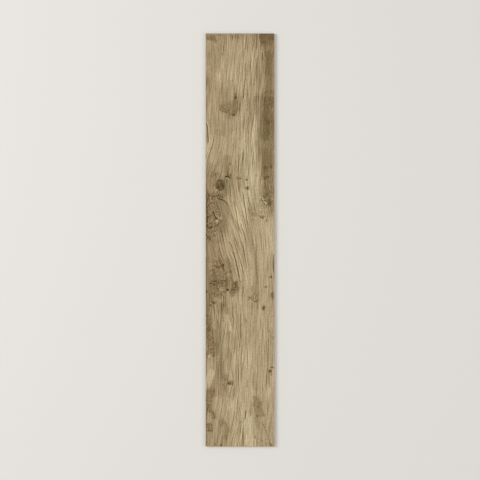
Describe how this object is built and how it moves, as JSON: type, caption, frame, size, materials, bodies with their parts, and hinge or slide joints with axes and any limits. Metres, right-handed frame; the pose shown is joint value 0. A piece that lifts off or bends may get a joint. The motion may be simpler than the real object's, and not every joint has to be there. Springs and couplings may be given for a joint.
{
  "type": "wood look porcelain plank tile",
  "caption": "Long narrow matte porcelain floor tile with a printed and embossed weathered-oak face, ground square edges and a ribbed keying back.",
  "frame": {"origin": "middle of the tile's back, on the plane that the crests of its ribs rest on", "axes": "+Y along the plank, towards the end that is at the top of the picture; +X across it, to the right in the picture; +Z out of the printed face"},
  "size_m": [0.2, 1.2, 0.009],
  "materials": {
    "wood_print_porcelain": "matte, inkjet-printed and lightly embossed oak grain under a thin matte glaze"
  },
  "bodies": {
    "root": {"plank_tile": "wood_print_porcelain"}
  },
  "joints": []
}
